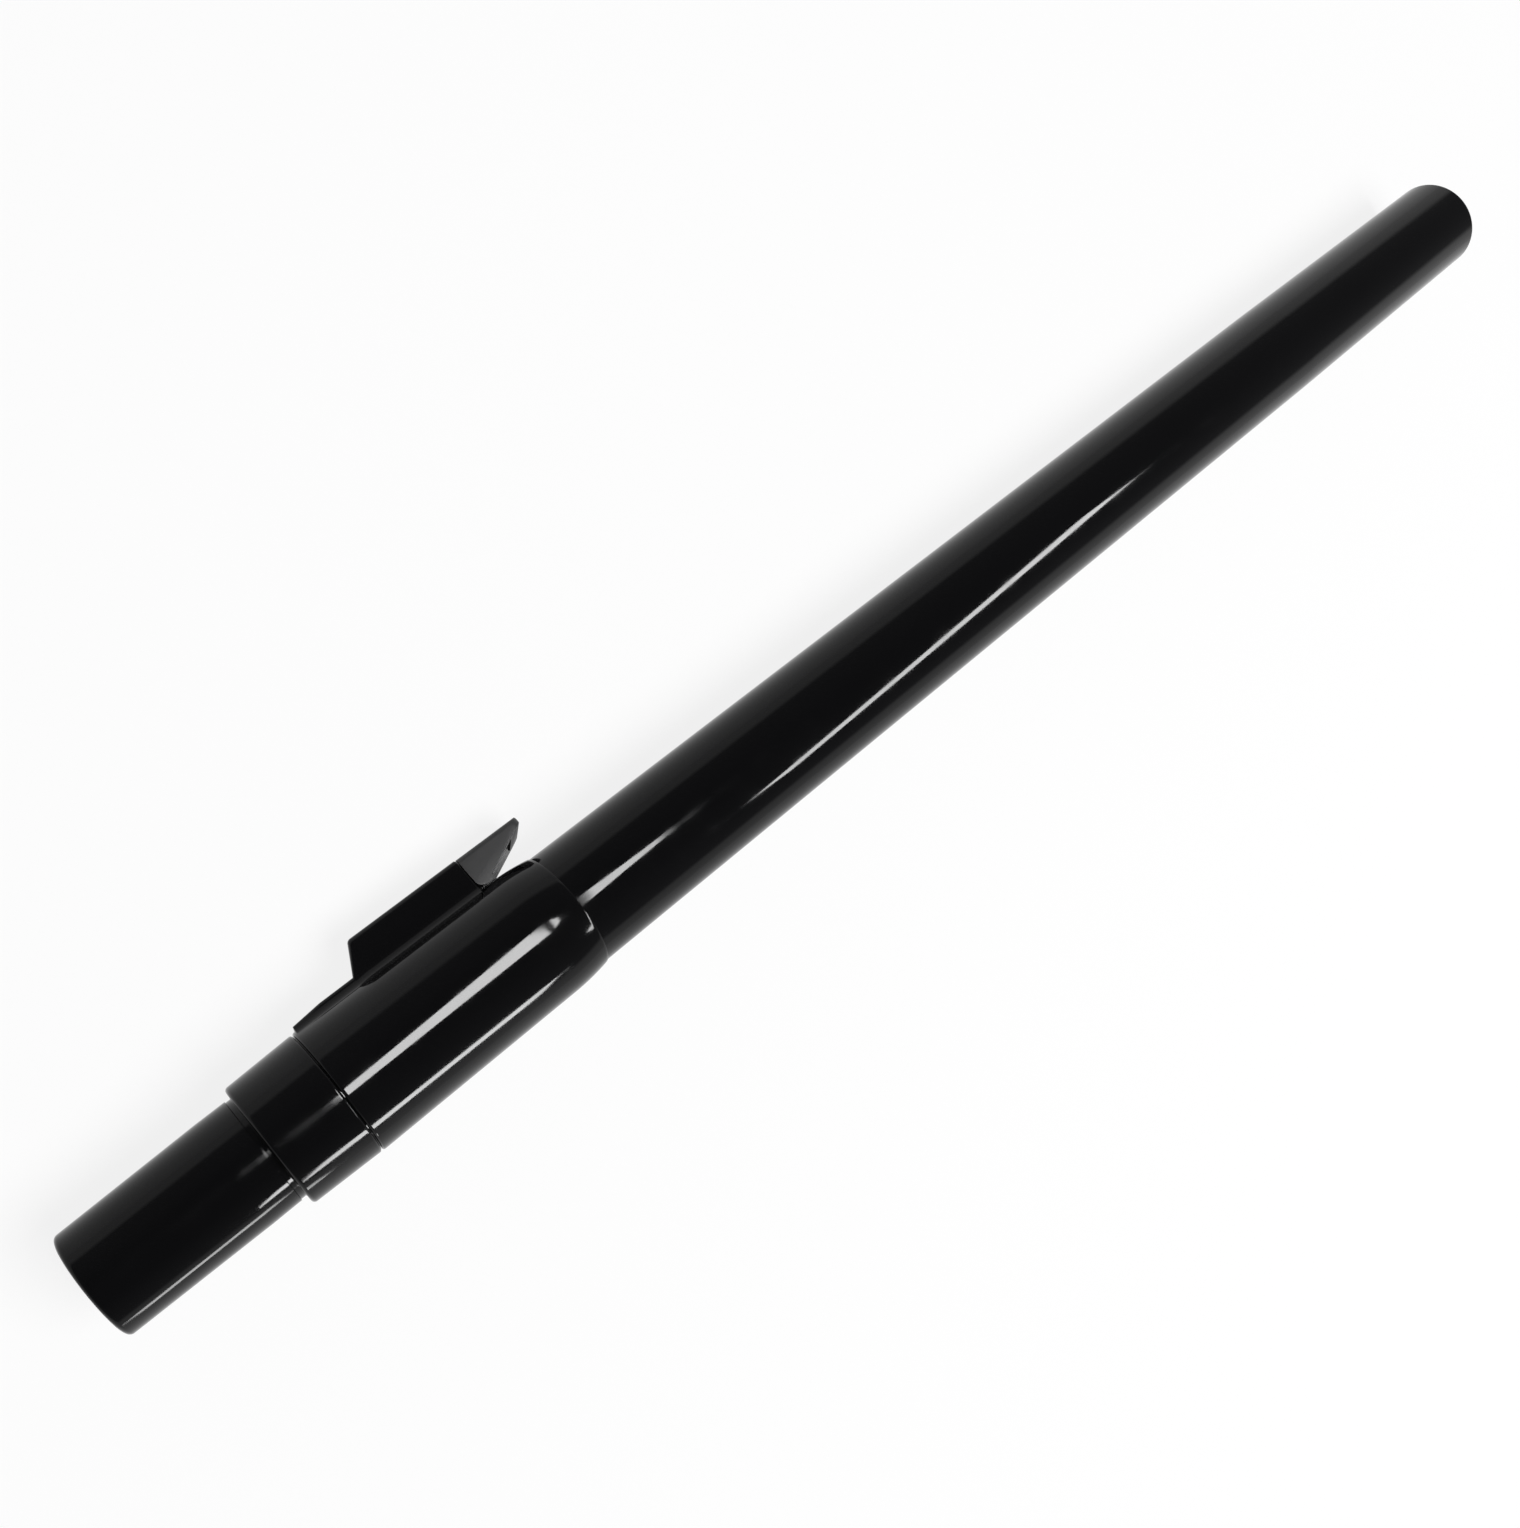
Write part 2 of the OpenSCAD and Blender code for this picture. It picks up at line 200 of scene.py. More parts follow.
class LatchSizes(bpy.types.PropertyGroup):
    """The latch and what it needs around it"""

    slot_start: length("Slot", "Distance from the mouth to the tooth's slot", 98.8)
    slot_length: length("Slot length", "Length of the tooth's slot", 5.5)
    slot_half_width: length("Slot half width", "Half the width of the tooth's slot", 3.9)
    pocket_floor: length("Pocket floor", "Height of the connector's pocket floor", 14.5)
    hole_end: length("Hole end", "Distance from the middle to the pin hole's blind end", 7.2)
    recess_radius: length("Recess", "Radius of the spring's recess in the roof", 2.525)
    recess_top: length("Recess top", "Height of the recess's end", 28.2)
    edge: length("Edge", "Radius to which the lever's sharp edges are broken", 0.15)
    pin_radius: length("Pin", "Radius of the hinge pin", 1.5)
    pin_chamfer: length("Pin chamfer", "Chamfer on the ends of the hinge pin", 0.3)
    wire_radius: length("Wire", "Radius of the spring's wire", 0.225)
    coil_radius: length("Coil", "Mean radius of the spring's coil", 2.1)
    coil_turns: bpy.props.FloatProperty(
        name="Turns", description="Turns of the latch spring", default=4.0
    )


class WandColours(bpy.types.PropertyGroup):
    """The colours of the finishes"""

    gloss: colour("Gloss black", "Polished mouldings", "#0a0a0b")
    satin: colour("Satin black", "The grained thumb lever", "#1b1b1c")
    steel: colour("Steel", "Hinge pin and spring", "#b9babd")
    ground: colour("Ground", "The pale studio floor", "#fbfbfb")


GROUPS = {
    "wand_tube_sizes": WandTubeSizes,
    "wand_connector_sizes": ConnectorSizes,
    "wand_ring_sizes": EndRingSizes,
    "wand_collar_sizes": CollarSizes,
    "wand_latch_sizes": LatchSizes,
    "wand_colours": WandColours,
}


# Outlines


def arc_steps(radius):
    """How many steps an arc of this radius is drawn in."""
    return max(4, min(14, round(radius / MM * 7)))


def corner_arc(before, at, after, radius, steps, hold=0.05 * MM):
    """The arc that rounds a corner, with a holding point before and after it.

    The holding points keep smooth shading on the arc.
    """
    before, at, after = Vector(before), Vector(at), Vector(after)
    back = (before - at).normalized()
    ahead = (after - at).normalized()
    half = back.angle(ahead) / 2
    cut_off = radius / math.tan(half)
    centre = at + (back + ahead).normalized() * radius / math.sin(half)
    first = at + back * cut_off - centre
    last = at + ahead * cut_off - centre
    sweep = math.atan2(first.x * last.y - first.y * last.x, first.dot(last))
    points = [at + back * (cut_off + hold)]
    for k in range(steps + 1):
        c = math.cos(sweep * k / steps)
        n = math.sin(sweep * k / steps)
        points.append(centre + Vector((c * first.x - n * first.y, n * first.x + c * first.y)))
    points.append(at + ahead * (cut_off + hold))
    return points


def rounded(corners):
    """A closed outline of [x, z] corners, each given with the radius that rounds it."""
    outline = []
    for i, (x, z, radius) in enumerate(corners):
        before = corners[i - 1][:2]
        after = corners[(i + 1) % len(corners)][:2]
        outline += corner_arc(before, (x, z), after, radius, arc_steps(radius))
    return outline


# Meshes


def mesh_object(name, points, faces=()):
    """A new object with these points and faces."""
    mesh = bpy.data.meshes.new(name)
    mesh.from_pydata([tuple(p) for p in points], [], faces)
    mesh.update()
    made = bpy.data.objects.new(name, mesh)
    bpy.context.scene.collection.objects.link(made)
    return made


def baked(source, name):
    """The plain mesh that an object's modifiers make, as a new object; the source goes."""
    bpy.context.view_layer.update()
    evaluated = source.evaluated_get(bpy.context.evaluated_depsgraph_get())
    mesh = bpy.data.meshes.new_from_object(evaluated)
    mesh.name = name
    bpy.data.objects.remove(source)
    made = bpy.data.objects.new(name, mesh)
    bpy.context.scene.collection.objects.link(made)
    return made


def tidy_shell(piece, sharp_degrees=32):
    """Merges doubles, points the faces outwards and keeps only real corners sharp."""
    shell = bmesh.new()
    shell.from_mesh(piece.data)
    bmesh.ops.remove_doubles(shell, verts=shell.verts, dist=0.001 * MM)
    bmesh.ops.recalc_face_normals(shell, faces=shell.faces)
    shell.to_mesh(piece.data)
    shell.free()
    piece.data.shade_smooth()
    piece.data.set_sharp_from_angle(angle=math.radians(sharp_degrees))
    return piece


def prism(name, outline, half_width):
    """A side view of (x, z) points, extruded to both sides of the middle plane."""
    count = len(outline)
    points = [(x, -half_width, z) for x, z in outline] + [(x, half_width, z) for x, z in outline]
    sides = [(i, (i + 1) % count, count + (i + 1) % count, count + i) for i in range(count)]
    caps = [tuple(range(count))[::-1], tuple(range(count, 2 * count))]
    return mesh_object(name, points, sides + caps)


def rod(name, outline, centre, upright=False, sides=64):
    """A round bar of (distance, radius) steps about a centre, across the wand or upright."""
    points = []
    for along, radius in outline:
        for k in range(sides):
            u = radius * math.cos(2 * math.pi * k / sides)
            v = radius * math.sin(2 * math.pi * k / sides)
            points.append(centre + Vector((u, v, along) if upright else (u, along, v)))
    faces = []
    for row in range(len(outline) - 1):
        below = row * sides
        above = below + sides
        for k in range(sides):
            after = (k + 1) % sides
            faces.append((below + k, below + after, above + after, above + k))
    faces += [tuple(range(sides)), tuple(range(len(points) - sides, len(points)))]
    return mesh_object(name, points, faces)


def slot_cutter(name, top):
    """What the latch tooth needs free, from the pocket's floor up to this height."""
    s = bpy.context.scene.wand_latch_sizes
    end = s.slot_start + s.slot_length
    floor = s.pocket_floor
    corners = [(s.slot_start, floor), (end, floor), (end, top), (s.slot_start, top)]
    return prism(name, corners, s.slot_half_width)


def cut(piece, cutters):
    """Takes each cutter away from the piece."""
    for cutter in cutters:
        shell = bmesh.new()
        shell.from_mesh(cutter.data)
        bmesh.ops.recalc_face_normals(shell, faces=shell.faces)
        shell.to_mesh(cutter.data)
        shell.free()
        step = piece.modifiers.new("Cut", "BOOLEAN")
        step.operation = "DIFFERENCE"
        step.solver = "EXACT"
        step.object = cutter
    name = piece.name
    piece.name = name + ".rough"
    made = baked(piece, name)
    for cutter in cutters:
        bpy.data.objects.remove(cutter)
    return made


# Geometry nodes


def node(tree, kind, settings=None, inputs=None):
    """Adds a node with its settings; an input is a value or the socket that it links to."""
    made = tree.nodes.new(kind)
    for key, value in (settings or {}).items():
        setattr(made, key, value)
    for key, value in (inputs or {}).items():
        if isinstance(value, bpy.types.NodeSocket):
            tree.links.new(value, made.inputs[key])
        else:
            made.inputs[key].default_value = value
    return made


def new_tree(name, sockets):
    """A geometry tree with a geometry in and out and the named inputs."""
    tree = bpy.data.node_groups.new(name, "GeometryNodeTree")
    tree.interface.new_socket("Geometry", in_out="INPUT", socket_type="NodeSocketGeometry")
    for label, kind in sockets:
        tree.interface.new_socket(label, in_out="INPUT", socket_type=kind)
    tree.interface.new_socket("Geometry", in_out="OUTPUT", socket_type="NodeSocketGeometry")
    return tree


def set_inputs(modifier, values):
    """Sets a geometry modifier's named inputs by their sockets' identifiers."""
    for item in modifier.node_group.interface.items_tree:
        if item.in_out == "INPUT" and item.name in values:
            modifier[item.identifier] = values[item.name]


def finish_tree(tree, geometry, material):
    """Ends a tree with its smooth shading, its material and real geometry."""
    smooth = node(tree, "GeometryNodeSetShadeSmooth", None, {"Geometry": geometry})
    painted = node(
        tree, "GeometryNodeSetMaterial", None, {"Geometry": smooth.outputs[0], "Material": material}
    )
    real = node(tree, "GeometryNodeRealizeInstances", None, {"Geometry": painted.outputs[0]})
    node(tree, "NodeGroupOutput", None, {"Geometry": real.outputs[0]})


def turned_tree():
    """Turns an outline, drawn as a row of points, round the X axis into a closed shell."""
    tree = new_tree(
        "Turned shell",
        [
            ("Outline points", "NodeSocketInt"),
            ("Segments", "NodeSocketInt"),
            ("Merge distance", "NodeSocketFloat"),
            ("Material", "NodeSocketMaterial"),
        ],
    )
    given = node(tree, "NodeGroupInput").outputs
    points, segments = given["Outline points"], given["Segments"]

    def whole(operation, a, b):
        settings = {"operation": operation}
        made = node(tree, "FunctionNodeIntegerMath", settings, {0: a, 1: b})
        return made.outputs[0]

    columns = whole("ADD", points, 1)
    rows = whole("ADD", segments, 1)
    sheet = node(
        tree,
        "GeometryNodeMeshGrid",
        None,
        {"Size X": 1.0, "Size Y": 1.0, "Vertices X": rows, "Vertices Y": columns},
    )
    index = node(tree, "GeometryNodeInputIndex").outputs[0]
    row = whole("DIVIDE_FLOOR", index, columns)
    column = whole("MODULO", index, columns)
    on_outline = whole("MODULO", column, points)
    position = node(tree, "GeometryNodeInputPosition").outputs[0]
    sampled = node(
        tree,
        "GeometryNodeSampleIndex",
        {"data_type": "FLOAT_VECTOR"},
        {"Geometry": given["Geometry"], "Value": position, "Index": on_outline},
    )
    share = node(tree, "ShaderNodeMath", {"operation": "DIVIDE"}, {0: row, 1: segments})
    angle = node(
        tree, "ShaderNodeMath", {"operation": "MULTIPLY"}, {0: share.outputs[0], 1: 2 * math.pi}
    )
    swung = node(
        tree,
        "ShaderNodeVectorRotate",
        {"rotation_type": "X_AXIS"},
        {"Vector": sampled.outputs[0], "Angle": angle.outputs[0]},
    )
    placed = node(
        tree,
        "GeometryNodeSetPosition",
        None,
        {"Geometry": sheet.outputs[0], "Position": swung.outputs[0]},
    )
    closed = node(
        tree,
        "GeometryNodeMergeByDistance",
        None,
        {"Geometry": placed.outputs[0], "Distance": given["Merge distance"]},
    )
    finish_tree(tree, closed.outputs[0], given["Material"])
    return tree


def coil_tree():
    """A compression coil: a wire swept along a helix whose end turns lie flat."""
    tree = new_tree(
        "Compression coil",
        [
            ("Turns", "NodeSocketFloat"),
            ("Coil radius", "NodeSocketFloat"),
            ("Wire radius", "NodeSocketFloat"),
            ("Height", "NodeSocketFloat"),
            ("End closing", "NodeSocketFloat"),
            ("Steps", "NodeSocketInt"),
            ("Sides", "NodeSocketInt"),
            ("Material", "NodeSocketMaterial"),
        ],
    )
    given = node(tree, "NodeGroupInput").outputs

    def math_node(operation, a, b=0.0):
        return node(tree, "ShaderNodeMath", {"operation": operation}, {0: a, 1: b}).outputs[0]

    line = node(tree, "GeometryNodeCurvePrimitiveLine", None, {"End": (0.0, 0.0, 1.0)})
    spaced = node(
        tree,
        "GeometryNodeResampleCurve",
        None,
        {"Curve": line.outputs[0], "Count": given["Steps"]},
    )
    share = node(tree, "GeometryNodeSplineParameter").outputs["Factor"]
    full_turn = math_node("MULTIPLY", share, 2 * math.pi)
    angle = math_node("MULTIPLY", full_turn, given["Turns"])
    settle = math_node("MULTIPLY", math_node("SINE", full_turn), given["End closing"])
    level = math_node("MULTIPLY", math_node("SUBTRACT", share, settle), given["Height"])
    spot = node(
        tree,
        "ShaderNodeCombineXYZ",
        None,
        {
            "X": math_node("MULTIPLY", math_node("COSINE", angle), given["Coil radius"]),
            "Y": math_node("MULTIPLY", math_node("SINE", angle), given["Coil radius"]),
            "Z": level,
        },
    )
    wound = node(
        tree,
        "GeometryNodeSetPosition",
        None,
        {"Geometry": spaced.outputs[0], "Position": spot.outputs[0]},
    )
    section = node(
        tree,
        "GeometryNodeCurvePrimitiveCircle",
        None,
        {"Resolution": given["Sides"], "Radius": given["Wire radius"]},
    )
    wire = node(
        tree,
        "GeometryNodeCurveToMesh",
        None,
        {"Curve": wound.outputs[0], "Profile Curve": section.outputs[0], "Fill Caps": True},
    )
    finish_tree(tree, wire.outputs[0], given["Material"])
    return tree


def turned_shell(name, corners, material, segments=144):
    """A shell turned from an outline of (x, radius, rounding) corners."""
    outline = rounded(corners)
    drawn = mesh_object(name + ".outline", [(p.x, 0.0, p.y) for p in outline])
    step = drawn.modifiers.new("Turn", "NODES")
    step.node_group = turned_tree()
    set_inputs(
        step,
        {
            "Outline points": len(outline),
            "Segments": segments,
            "Merge distance": 0.001 * MM,
            "Material": material,
        },
    )
    return tidy_shell(baked(drawn, name))


# Materials


def new_material(name):
    """A material with an empty tree."""
    material = bpy.data.materials.new(name)
    material.use_nodes = True
    tree = material.node_tree
    tree.nodes.clear()
    return material, tree


def surface_pattern(tree, coords, wavelength_mm, detail=2.0, stretch=(1, 1, 1)):
    """Noise on the piece's own coordinates, with about this wavelength."""
    scaled = node(
        tree,
        "ShaderNodeMapping",
        None,
        {"Vector": coords, "Scale": tuple(s / (wavelength_mm * MM) for s in stretch)},
    )
    return node(
        tree,
        "ShaderNodeTexNoise",
        None,
        {"Vector": scaled.outputs[0], "Scale": 1.0, "Detail": detail, "Roughness": 0.5},
    )


def ranged(tree, value, low, high, from_low=0.35, from_high=0.65):
    """A value between low and high, following a pattern."""
    inputs = {
        "Value": value,
        "From Min": from_low,
        "From Max": from_high,
        "To Min": low,
        "To Max": high,
    }
    return node(tree, "ShaderNodeMapRange", None, inputs).outputs[0]


def tinted(tree, value, base, lift):
    """The base colour, lifted a little where the pattern is high."""
    bright = [min(1.0, c * lift) for c in base[:3]] + [1.0]
    mixed = node(
        tree,
        "ShaderNodeMix",
        {"data_type": "RGBA"},
        {"Factor": value, 6: tuple(base), 7: tuple(bright)},
    )
    return mixed.outputs[2]


def bumped(tree, height, strength, depth_mm, normal=None):
    """A normal that follows a pattern's height."""
    inputs = {"Height": height, "Strength": strength, "Distance": depth_mm * MM}
    if normal is not None:
        inputs["Normal"] = normal
    return node(tree, "ShaderNodeBump", None, inputs).outputs[0]


def moulded_gloss_abs():
    """Black ABS from a polished mould: a deep gloss with a faint orange peel and hairline scuffs."""
    material, tree = new_material("moulded_gloss_abs")
    base = bpy.context.scene.wand_colours.gloss
    coords = node(tree, "ShaderNodeTexCoord").outputs["Object"]
    flow = surface_pattern(tree, coords, 34.0, stretch=(0.4, 1, 1)).outputs[0]
    peel = surface_pattern(tree, coords, 3.2, detail=1.0).outputs[0]
    haze = surface_pattern(tree, coords, 9.0, detail=4.0).outputs[0]
    scuffs = surface_pattern(tree, coords, 0.35, detail=3.0, stretch=(0.03, 1, 1)).outputs[0]
    skin = bumped(tree, peel, 0.06, 0.03)
    skin = bumped(tree, ranged(tree, scuffs, 0, 1, 0.62, 0.72), 0.05, 0.01, skin)
    shader = node(
        tree,
        "ShaderNodeBsdfPrincipled",
        None,
        {
            "Base Color": tinted(tree, flow, base, 1.5),
            "Roughness": ranged(tree, haze, 0.05, 0.1),
            "IOR": 1.46,
            "Specular IOR Level": 0.18,
            "Normal": skin,
        },
    )
    node(tree, "ShaderNodeOutputMaterial", None, {"Surface": shader.outputs[0]})
    return material


def moulded_satin_abs():
    """Black ABS from a spark-eroded mould: an even grain, so the lever doesn't slip under a thumb."""
    material, tree = new_material("moulded_satin_abs")
    base = bpy.context.scene.wand_colours.satin
    coords = node(tree, "ShaderNodeTexCoord").outputs["Object"]
    grain = surface_pattern(tree, coords, 0.45, detail=3.0).outputs[0]
    flow = surface_pattern(tree, coords, 12.0).outputs[0]
    shader = node(
        tree,
        "ShaderNodeBsdfPrincipled",
        None,
        {
            "Base Color": tinted(tree, flow, base, 1.3),
            "Roughness": ranged(tree, flow, 0.46, 0.56),
            "IOR": 1.5,
            "Normal": bumped(tree, grain, 0.35, 0.03),
        },
    )
    node(tree, "ShaderNodeOutputMaterial", None, {"Surface": shader.outputs[0]})
    return material


def ground_steel():
    """Centreless-ground steel rod: a fine noise at grinding scale varies its tint, roughness and surface."""
    material, tree = new_material("ground_steel")
    base = bpy.context.scene.wand_colours.steel
    coords = node(tree, "ShaderNodeTexCoord").outputs["Object"]
    rings = surface_pattern(tree, coords, 0.12, detail=2.0).outputs[0]
    shader = node(
        tree,
        "ShaderNodeBsdfPrincipled",
        None,
        {
            "Base Color": tinted(tree, rings, base, 1.15),
            "Metallic": 1.0,
            "Roughness": ranged(tree, rings, 0.22, 0.34),
            "Normal": bumped(tree, rings, 0.2, 0.004),
        },
    )
    node(tree, "ShaderNodeOutputMaterial", None, {"Surface": shader.outputs[0]})
    return material


def drawn_spring_wire():
    """Drawn music wire: bright, with a trace of oil that varies its tint, roughness and surface."""
    material, tree = new_material("drawn_spring_wire")
    base = bpy.context.scene.wand_colours.steel
    coords = node(tree, "ShaderNodeTexCoord").outputs["Object"]
    oil = surface_pattern(tree, coords, 1.5, detail=3.0).outputs[0]
    shader = node(
        tree,
        "ShaderNodeBsdfPrincipled",
        None,
        {
            "Base Color": tinted(tree, oil, base, 1.1),
            "Metallic": 1.0,
            "Roughness": ranged(tree, oil, 0.18, 0.3),
            "Normal": bumped(tree, oil, 0.1, 0.01),
        },
    )
    node(tree, "ShaderNodeOutputMaterial", None, {"Surface": shader.outputs[0]})
    return material


def shared(maker):
    """A material that several pieces share, made once."""
    return bpy.data.materials.get(maker.__name__) or maker()


# Pieces


class WAND_OT_tube(bpy.types.Operator):
    """Turns the long tube with its two seats and its round far rim"""

    bl_idname = "wand.tube"
    bl_label = "Wand tube"

    def execute(self, context):
        s = context.scene.wand_tube_sizes
        end = CAD_BOX[1].x - CAD_BOX[0].x
        step = 1.0 * MM
        corners = [
            (s.start, s.seat, 0.2 * MM),
            (s.start, s.radius, 0.2 * MM),
            (end - s.far_taper, s.radius, 60 * MM),
            (end, s.far_radius, s.rim_round),
            (end, s.seat, 0.35 * MM),
            (end - s.seat_depth, s.seat, 0.2 * MM),
            (end - s.seat_depth - step, s.bore, 0.2 * MM),
            (s.sleeve_end + 0.2 * MM, s.bore, 0.05 * MM),
            (s.sleeve_end + 0.1 * MM, s.seat, 0.05 * MM),
        ]
        shell = turned_shell("tube_shell", corners, shared(moulded_gloss_abs))
        piece = tidy_shell(cut(shell, [slot_cutter("tube_slot", s.radius + MM)]))
        laid(piece, "wand", "wand_tube")
        return {"FINISHED"}


class WAND_OT_connector(bpy.types.Operator):
    """Turns the male connector: taper, land, relief groove and inner sleeve"""

    bl_idname = "wand.connector"
    bl_label = "Connector"

    def execute(self, context):
        s = context.scene.wand_connector_sizes
        sleeve_end = context.scene.wand_tube_sizes.sleeve_end
        groove = 1.4 * MM
        lead_in = 1.2 * MM
        fine = 0.12 * MM
        corners = [
            (0.0, s.bore, 0.5 * MM),
            (0.0, s.mouth_radius, s.mouth_round),
            (s.taper, s.radius, 8 * MM),
            (s.reach - groove, s.radius, fine),
            (s.reach - groove, s.radius - s.relief, fine),
            (s.reach, s.radius - s.relief, fine),
            (s.reach, s.radius, 0.05 * MM),
            (sleeve_end - lead_in, s.radius, fine),
            (sleeve_end, s.radius - lead_in, fine),
            (sleeve_end, s.bore, fine),
        ]
        shell = turned_shell("connector_shell", corners, shared(moulded_gloss_abs))
        piece = tidy_shell(cut(shell, [slot_cutter("pocket", s.radius + MM)]))
        laid(piece, "wand", "connector")
        return {"FINISHED"}


class WAND_OT_end_ring(bpy.types.Operator):
    """Turns the cup-shaped ring that caps the tube's near end"""

    bl_idname = "wand.end_ring"
    bl_label = "End ring"

    def execute(self, context):
        s = context.scene.wand_ring_sizes
        seat = context.scene.wand_tube_sizes.seat
        inside = context.scene.wand_collar_sizes.bore
        end = s.start + s.extent
        web = s.start + 0.56 * s.extent
        fine = 0.15 * MM
        corners = [
            (s.start, seat, fine),
            (s.start, s.front_radius, s.front_round),
            (end, s.rear_radius, s.rear_round),
            (end, inside, fine),
            (web, inside, fine),
            (web, seat, fine),
        ]
        piece = turned_shell("ring_shell", corners, shared(moulded_gloss_abs))
        laid(piece, "wand", "end_ring")
        return {"FINISHED"}


def smoothed(t):
    """Eases from 0 to 1 with no corner at either end."""
    t = max(0.0, min(1.0, t))
    return t * t * (3 - 2 * t)


# Points on each stretch of half a collar section.
SLEEVE_POINTS = 44
FILLET_POINTS = 12
WALL_POINTS = 4
CORNER_POINTS = 9
TOP_POINTS = 8


def spoke(angle, radius):
    return Vector((math.cos(angle), math.sin(angle))) * radius


def housing_half_section(s, half_width, height, rounding, radius):
    """Half the collar's section, from under the sleeve up to the middle of the housing's top."""
    centre = Vector((half_width + s.fillet, 0))
    centre.y = math.sqrt((radius + s.fillet) ** 2 - centre.x**2)
    low = height - rounding
    has_wall = low >= centre.y
    across = half_width - rounding
    if not has_wall:
        reach = s.fillet + rounding
        across = centre.x - math.sqrt(max(0.0, reach**2 - (centre.y - low) ** 2))
    crown = Vector((across, low))
    joint = math.atan2(centre.x, centre.y)
    points = []
    for k in range(SLEEVE_POINTS):
        angle = joint + (math.pi - joint) * (1 - k / SLEEVE_POINTS)
        points.append(Vector((math.sin(angle), math.cos(angle))) * radius)
    start = math.atan2(-centre.y, -centre.x) % math.tau
    stop = math.pi
    if not has_wall:
        stop = math.atan2(crown.y - centre.y, crown.x - centre.x) % math.tau
    for k in range(FILLET_POINTS):
        share = k / (FILLET_POINTS - 1)
        points.append(centre + spoke(start + (stop - start) * share, s.fillet))
    foot = points[-1].copy()
    lean = 0.0 if has_wall else math.atan2(foot.y - crown.y, foot.x - crown.x)
    first = crown + spoke(lean, rounding)
    for k in range(1, WALL_POINTS + 1):
        points.append(foot.lerp(first, k / (WALL_POINTS + 1)))
    for k in range(CORNER_POINTS):
        share = k / (CORNER_POINTS - 1)
        points.append(crown + spoke(lean + (math.pi / 2 - lean) * share, rounding))
    edge = points[-1].copy()
    for k in range(1, TOP_POINTS + 1):
        points.append(Vector((edge.x * (1 - k / TOP_POINTS), edge.y)))
    return points


def full_ring(half):
    """The whole section, whose other half mirrors the first."""
    return half + [Vector((-p.x, p.y)) for p in reversed(half[1:-1])]


def on_circle(ring, radius):
    """The same section points, each moved straight in or out to a circle."""
    return [p.normalized() * radius for p in ring]


def tail_radius(s, x):
    """The sleeve's radius along its tail, one long arc down to the lip."""
    drop = s.radius - s.lip
    arc = (s.tail**2 + drop**2) / (2 * drop)
    along = x - (s.start + s.extent - s.tail)
    if along <= 0:
        return s.radius
    return s.radius - arc + math.sqrt(arc**2 - along**2)


def plinth_level(s, x):
    """Height of the plinth's top: a ramp up from the sleeve, then level."""
    rise = (x - s.start) / s.plinth_ramp
    return s.radius + 0.05 * MM + (s.plinth_height - s.radius - 0.05 * MM) * min(1.0, rise)


def lean_profile(s):
    """(x, height) steps up the housing's leaning front, round at the foot and the crown."""
    foot = Vector((s.start + s.housing_start, s.plinth_height))
    crown = Vector((foot.x + s.housing_lean, s.housing_height))
    corners = [
        (foot.x - 6 * MM, foot.y, 0.0),
        (foot.x, foot.y, 0.35 * MM),
        (crown.x, crown.y, 1.6 * MM),
        (crown.x + 6 * MM, crown.y, 0.0),
    ]
    steps = []
    for before, at, after in zip(corners, corners[1:], corners[2:]):
        steps += corner_arc(before[:2], at[:2], after[:2], at[2], 8)
    return steps


def quarter(steps):
    """The sine and cosine of each step of a quarter turn."""
    angles = [math.pi / 2 * k / steps for k in range(steps + 1)]
    return [(math.sin(a), math.cos(a)) for a in angles]


def spread(start, end, steps):
    """Even steps from start to end, without the start itself."""
    return [start + (end - start) * k / steps for k in range(1, steps + 1)]


